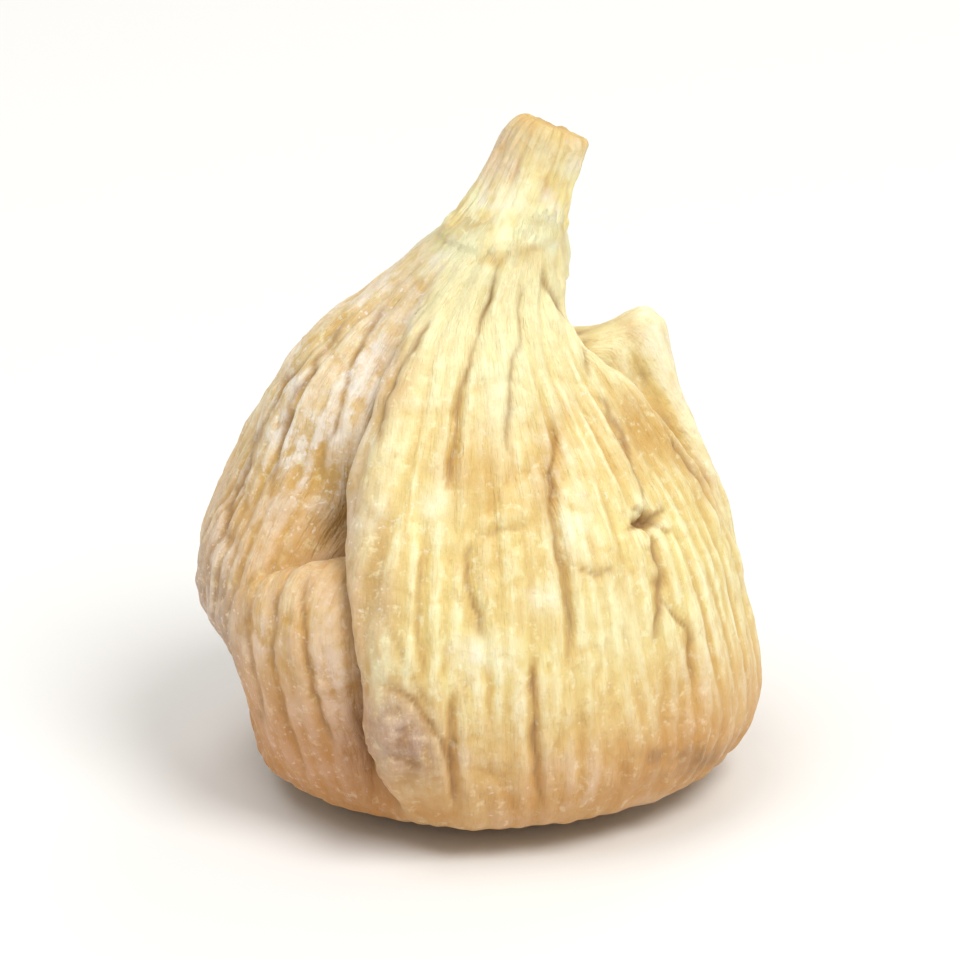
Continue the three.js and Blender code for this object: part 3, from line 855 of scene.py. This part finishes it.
def neck_colour(m):
    """Colour of the neck and the stem, by place alone, so that it runs on from one piece to the other."""
    spot = m.spot()
    streak = m.noise(m.place(spot, (1.0, 1.0, 0.3)), 800.0, 2.0, 0.6)
    mottle = m.noise(spot, 420.0, 2.0, 0.6)
    cloud = m.noise(spot, 260.0, 3.0, 0.65)
    col = m.mix(m.span(streak, 0.3, 0.7), TAN, STRAW)
    col = m.mix(m.span(mottle, 0.38, 0.64, 0.1, 0.75), col, PALE)
    col = m.mix(m.span(cloud, 0.48, 0.66, 0.0, 0.5), col, BLOOM_AND_HIGHLIGHT)
    return m.mix(m.math("MULTIPLY", m.span(cloud, 0.46, 0.34), m.span(mottle, 0.6, 0.4, 0.2, 0.6)), col, TAN)


def skin_material():
    m = Nodes("fig_skin")
    flow = m.attr("flow", True)
    spot = m.spot()
    streak = m.noise(m.place(flow, (1.5, 1.5, 0.26)), 1.0, 3.0, 0.6)
    hair = m.noise(m.place(flow, (4.5, 4.5, 0.8)), 1.0, 2.0, 0.6)
    patch = m.noise(spot, 120.0, 2.0, 0.6)
    mottle = m.noise(spot, 330.0, 3.0, 0.62)
    grain = m.noise(spot, 1200.0, 3.0, 0.65)
    dust = m.noise(spot, 560.0, 4.0, 0.72)
    specks = m.noise(spot, 2600.0, 1.0, 0.5)
    crest, valley_shade, hollow_shade, neck = m.attr("crest"), m.attr("valley_shade"), m.attr("hollow_shade"), m.attr("neck")
    crease_shade_and_dark_spots, bloom_and_pleat_highlight, amber_and_shade, straw, grey_and_edge_shade = m.attr("crease_shade_and_dark_spots"), m.attr("bloom_and_pleat_highlight"), m.attr("amber_and_shade"), m.attr("straw"), m.attr("grey_and_edge_shade")
    dull_and_shade, line = m.attr("dull_and_shade"), m.attr("line")

    # straw yellow to tan, in streaks along the fruit
    col = m.mix(m.math("ADD", m.math("MULTIPLY", straw, 0.7), m.math("MULTIPLY", m.math("SUBTRACT", streak, 0.45), 1.3)), TAN, STRAW)
    # the set-back lobe and parts of the back are dull and rosy; painted shade on the main lobe's edge beside the fold
    col = m.mix(m.math("MULTIPLY", grey_and_edge_shade, 0.85), col, m.mix(m.span(mottle, 0.35, 0.65), ROSE, TAN))
    # painted shade low down, on the lower left-hand lobe and in the pocket; the nodule and a patch low on the right
    # duller too
    col = m.mix(m.math("MULTIPLY", dull_and_shade, m.span(mottle, 0.3, 0.7, 0.5, 0.95)), col, DULL)
    col = m.mix(m.math("MULTIPLY", grey_and_edge_shade, m.span(m.math("ADD", mottle, m.math("MULTIPLY", m.math("SUBTRACT", dust, 0.5), 0.5)), 0.50, 0.66, 0.0, 0.6)), col, AMBER)
    # ribs: a painted highlight along their crests, painted shade in between
    col = m.mix(m.math("MULTIPLY", m.span(crest, 0.4, 0.95), m.math("SUBTRACT", m.span(streak, 0.3, 0.65, 0.05, 0.66), m.math("MULTIPLY", m.math("ADD", dull_and_shade, m.math("MULTIPLY", grey_and_edge_shade, 0.5)), 0.5)), True), col, PALE)
    # orange patches, with painted shade in the pocket, along some creases and low down
    col = m.mix(m.math("MULTIPLY", amber_and_shade, m.span(m.math("ADD", mottle, m.math("MULTIPLY", streak, 0.6)), 0.5, 0.98, 0.3, 1.0)), col, AMBER)
    col = m.mix(m.math("MULTIPLY", m.span(crest, 0.5, 0.05), m.span(patch, 0.35, 0.65, 0.15, 0.6)), col, AMBER)
    # painted shade in the valleys and in the wide hollows
    col = m.mix(m.math("MULTIPLY", valley_shade, m.span(patch, 0.3, 0.7, 0.3, 0.7)), col, AMBER)
    col = m.mix(m.math("MULTIPLY", hollow_shade, 0.4), col, AMBER)
    # the nodule's grey crust, and painted shade down the left-hand edge and beside the fold
    col = m.mix(m.math("MULTIPLY", m.attr("ash_and_edge_shade"), m.span(grain, 0.35, 0.65, 0.55, 0.95)), col, ASH)
    # fine mottling
    col = m.mix(m.math("MULTIPLY", m.span(hair, 0.55, 0.75), 0.35), col, AMBER)
    col = m.mix(m.span(grain, 0.55, 0.72, 0.0, 0.4), col, AMBER)
    col = m.mix(m.span(grain, 0.45, 0.30, 0.0, 0.4), col, PALE)
    # pale spots, and a painted highlight over the upper front
    col = m.mix(m.attr("pale_and_top_highlight"), col, PALE)
    col = m.mix(neck, col, neck_colour(m))
    # sugar bloom: patches of dust, and single grains; a painted highlight along the pleat's crest in the same white
    bare = m.math("SUBTRACT", 1.0, neck)
    dust_and_pleat_highlight = m.math("MULTIPLY", m.math("MULTIPLY", m.math("ADD", bloom_and_pleat_highlight, m.span(patch, 0.45, 0.75, 0.0, 0.35)), bare), m.span(m.math("ADD", dust, m.math("MULTIPLY", crest, 0.25)), 0.52, 0.80), True)
    col = m.mix(m.math("MULTIPLY", dust_and_pleat_highlight, 0.75), col, BLOOM_AND_HIGHLIGHT)
    grains = m.math("MULTIPLY", m.span(specks, 0.63, 0.71), m.span(m.math("ADD", dust, m.math("MULTIPLY", m.math("ADD", bloom_and_pleat_highlight, grey_and_edge_shade), 0.15)), 0.52, 0.74), True)
    col = m.mix(m.math("MULTIPLY", m.math("MULTIPLY", grains, bare), 0.6), col, BLOOM_AND_HIGHLIGHT)
    # the lower parts are darker and browner, partly their own colour and partly painted shade; the lower left-hand lobe
    # likewise
    col = m.mix(m.attr("low"), col, rgb(0.95, 0.80, 0.80), "MULTIPLY")
    col = m.mix(m.attr("warm_and_shade"), col, rgb(1.0, 0.89, 0.80), "MULTIPLY")
    col = m.mix(m.math("MULTIPLY", m.attr("crust"), m.span(grain, 0.35, 0.65, 0.6, 1.0)), col, rgb(0.70, 0.60, 0.55), "MULTIPLY")
    # painted shade: dark lines at the bottoms of creases, and the folds, pocket, gap and hole darkened; also a brown
    # patch low on the right and the eye's middle
    col = m.mix(m.math("MULTIPLY", line, 0.82), col, BROWN)
    col = m.mix(m.math("MULTIPLY", crease_shade_and_dark_spots, 0.88), col, BROWN)
    m.link(col, m.bsdf.inputs["Base Color"])

    rough = m.span(m.math("ADD", mottle, m.math("MULTIPLY", dust_and_pleat_highlight, 0.6)), 0.2, 1.1, 0.42, 0.85)
    m.link(rough, m.bsdf.inputs["Roughness"])
    height = m.math("ADD", m.math("MULTIPLY", hair, 0.13), m.math("MULTIPLY", grain, 0.11))
    m.link(m.bump(height, 1.0, 0.001), m.bsdf.inputs["Normal"])
    m.bsdf.inputs["Specular IOR Level"].default_value = 0.35
    m.bsdf.inputs["Subsurface Weight"].default_value = 0.13
    m.bsdf.inputs["Subsurface Radius"].default_value = (1.0, 0.55, 0.22)
    m.bsdf.inputs["Subsurface Scale"].default_value = 0.0007
    m.bsdf.inputs["Sheen Weight"].default_value = 0.06
    m.bsdf.inputs["Sheen Roughness"].default_value = 0.5
    return m.mat


def stem_material():
    m = Nodes("fig_stem")
    flow = m.attr("flow", True)
    spot = m.spot()
    crest, cut, far, ring = m.attr("crest"), m.attr("cut"), m.attr("along"), m.attr("ring")
    hair = m.noise(m.place(flow, (6.0, 6.0, 0.8)), 1.0, 2.0, 0.6)
    mottle = m.noise(spot, 420.0, 3.0, 0.6)
    grain = m.noise(spot, 1400.0, 3.0, 0.65)
    col = neck_colour(m)
    ribs = m.span(far, 0.55, 0.75)       # below this the stem has the colour of the neck alone
    # a painted highlight along the stem's ridges, painted shade between them
    col = m.mix(m.math("MULTIPLY", m.math("MULTIPLY", m.span(crest, 0.5, 0.9), 0.3), ribs), col, PALE)
    col = m.mix(m.math("MULTIPLY", m.math("MULTIPLY", m.span(crest, 0.45, 0.1), 0.4), ribs), col, AMBER)
    # painted shade on the stem's left-hand side
    col = m.mix(m.math("MULTIPLY", m.math("MULTIPLY", m.attr("shade"), ribs), m.span(mottle, 0.3, 0.65, 0.35, 0.85)), col, ROSE)
    col = m.mix(m.math("MULTIPLY", m.math("MULTIPLY", m.span(hair, 0.55, 0.75), 0.3), ribs), col, AMBER)
    col = m.mix(m.math("MULTIPLY", m.span(grain, 0.55, 0.72, 0.0, 0.35), ribs), col, AMBER)
    col = m.mix(m.span(far, 0.58, 0.88), col, rgb(0.88, 0.82, 0.80), "MULTIPLY")
    tip = m.span(m.math("ADD", far, m.math("MULTIPLY", m.math("SUBTRACT", mottle, 0.5), 0.5)), 0.88, 1.04)
    col = m.mix(m.math("MULTIPLY", tip, 0.75), col, rgb(0.66, 0.40, 0.12))
    end = m.mix(m.span(m.math("ADD", ring, m.math("MULTIPLY", m.math("SUBTRACT", mottle, 0.5), 0.9)), 0.25, 0.75), rgb(0.46, 0.27, 0.10), rgb(0.66, 0.47, 0.18))
    col = m.mix(m.math("MULTIPLY", cut, 0.85), col, end)
    m.link(col, m.bsdf.inputs["Base Color"])
    m.link(m.span(mottle, 0.2, 0.8, 0.55, 0.85), m.bsdf.inputs["Roughness"])
    height = m.math("ADD", m.math("MULTIPLY", hair, 0.12), m.math("MULTIPLY", grain, 0.08))
    m.link(m.bump(height, 1.0, 0.001), m.bsdf.inputs["Normal"])
    m.bsdf.inputs["Specular IOR Level"].default_value = 0.3
    m.bsdf.inputs["Subsurface Weight"].default_value = 0.1
    m.bsdf.inputs["Subsurface Radius"].default_value = (1.0, 0.55, 0.22)
    m.bsdf.inputs["Subsurface Scale"].default_value = 0.0006
    return m.mat


fruit.data.materials.append(skin_material())
stem.data.materials.append(stem_material())
for piece, node, slot in ((fruit, "fruit", "fig_skin"), (stem, "stem", "fig_stem")):
    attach(piece, "root")
    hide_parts(node)

# ------------------------------------------------------------------ floor, light, camera
floor_mesh = bpy.data.meshes.new("floor")
floor_mesh.from_pydata([(-4, -4, 0), (4, -4, 0), (4, 4, 0), (-4, 4, 0)], [], [(0, 1, 2, 3)])
floor = bpy.data.objects.new("floor", floor_mesh)
bpy.context.scene.collection.objects.link(floor)
fm = Nodes("floor")
fm.bsdf.inputs["Base Color"].default_value = rgb(0.79, 0.785, 0.775)
fm.bsdf.inputs["Roughness"].default_value = 0.9
fm.bsdf.inputs["Specular IOR Level"].default_value = 0.1
floor_mesh.materials.append(fm.mat)

world = bpy.data.worlds.new("studio")
bpy.context.scene.world = world
world.use_nodes = True
world.node_tree.nodes["Background"].inputs["Color"].default_value = (1.0, 0.99, 0.97, 1)
world.node_tree.nodes["Background"].inputs["Strength"].default_value = 0.5


def area(name, at, size, energy, colour, aim=(0, 0, 0.02)):
    data = bpy.data.lights.new(name, "AREA")
    data.shape = "DISK"
    data.size = size
    data.energy = energy
    data.color = colour
    obj = bpy.data.objects.new(name, data)
    obj.location = at
    obj.rotation_euler = (Vector(aim) - Vector(at)).to_track_quat("-Z", "Y").to_euler()
    bpy.context.scene.collection.objects.link(obj)


area("key", (0.36, -0.36, 0.74), 0.45, 5.4, (1.0, 0.985, 0.95))
area("top", (-0.30, -0.16, 0.88), 0.6, 3.0, (0.97, 0.985, 1.0))
area("rim", (0.25, 0.6, 0.5), 0.4, 1.0, (1.0, 0.98, 0.94))

camera = bpy.data.objects.new("camera", bpy.data.cameras.new("camera"))
bpy.context.scene.collection.objects.link(camera)
target = Vector(TARGET) * 0.001
camera.location = target + Vector(TO_CAMERA) * (DISTANCE * 0.001)
camera.rotation_euler = (target - camera.location).to_track_quat("-Z", "Y").to_euler()
camera.data.sensor_width = 36.0
camera.data.lens = 36.0 * (DISTANCE / PX_MM * ZOOM) / 960.0
camera.data.clip_start = 0.01
camera.data.clip_end = 20.0
bpy.context.scene.camera = camera

bpy.context.scene.view_settings.view_transform = "Standard"
bpy.context.scene.view_settings.look = "None"
